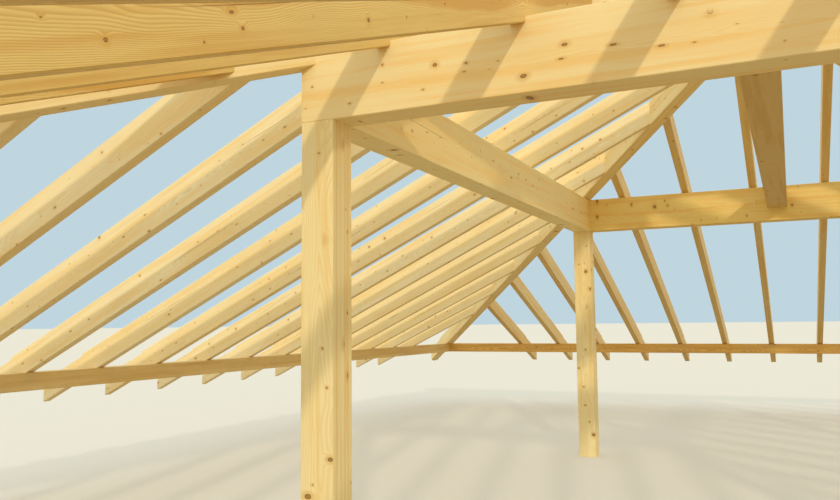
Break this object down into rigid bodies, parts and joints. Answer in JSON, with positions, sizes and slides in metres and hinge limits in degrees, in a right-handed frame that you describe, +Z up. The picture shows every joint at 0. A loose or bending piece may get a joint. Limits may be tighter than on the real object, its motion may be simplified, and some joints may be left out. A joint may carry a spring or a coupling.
{
  "type": "timber hip roof frame",
  "caption": "Timber hip roof frame: posts carry a ring of deep purlins and a tie beam, with hips, common and jack rafters running down to wall plates at the eaves.",
  "frame": {"origin": "middle of the plan, on the floor under the posts", "axes": "+X to the right across the house, +Y from the front to the back along the house, +Z up"},
  "size_m": [13.74, 17.6614, 4.39],
  "materials": {
    "post_timber": "planed glued spruce, dry and unfinished",
    "beam_timber": "planed glued spruce, dry and unfinished",
    "rafter_timber": "planed solid spruce, dry and unfinished",
    "plate_timber": "sawn solid spruce, weathered to orange brown"
  },
  "bodies": {
    "root": {"hip_back_left": "rafter_timber", "hip_back_right": "rafter_timber", "hip_front_left": "rafter_timber", "hip_front_right": "rafter_timber", "king_post": "post_timber", "post_back_left": "post_timber", "post_back_right": "post_timber", "post_front_left": "post_timber", "post_front_right": "post_timber", "purlin_back": "beam_timber", "purlin_front": "beam_timber", "purlin_left": "beam_timber", "purlin_right": "beam_timber", "rafters_back_01_02": "rafter_timber", "rafters_back_03_04": "rafter_timber", "rafters_back_05_06": "rafter_timber", "rafters_back_07_08": "rafter_timber", "rafters_back_09_10": "rafter_timber", "rafters_back_11_12": "rafter_timber", "rafters_back_13_14": "rafter_timber", "rafters_front_01_02": "rafter_timber", "rafters_front_03_04": "rafter_timber", "rafters_front_05_06": "rafter_timber", "rafters_front_07_08": "rafter_timber", "rafters_front_09_10": "rafter_timber", "rafters_front_11_12": "rafter_timber", "rafters_front_13_14": "rafter_timber", "rafters_left_01_02": "rafter_timber", "rafters_left_03_04": "rafter_timber", "rafters_left_05_06": "rafter_timber", "rafters_left_07_08": "rafter_timber", "rafters_left_09_10": "rafter_timber", "rafters_left_11_12": "rafter_timber", "rafters_left_13_14": "rafter_timber", "rafters_left_15_16": "rafter_timber", "rafters_left_17": "rafter_timber", "rafters_right_01_02": "rafter_timber", "rafters_right_03_04": "rafter_timber", "rafters_right_05_06": "rafter_timber", "rafters_right_07_08": "rafter_timber", "rafters_right_09_10": "rafter_timber", "rafters_right_11_12": "rafter_timber", "rafters_right_13_14": "rafter_timber", "rafters_right_15_16": "rafter_timber", "rafters_right_17": "rafter_timber", "ridge_purlin": "beam_timber", "tie_beam": "beam_timber", "wall_plate_back": "plate_timber", "wall_plate_front": "plate_timber", "wall_plate_left": "plate_timber", "wall_plate_right": "plate_timber"}
  },
  "joints": []
}
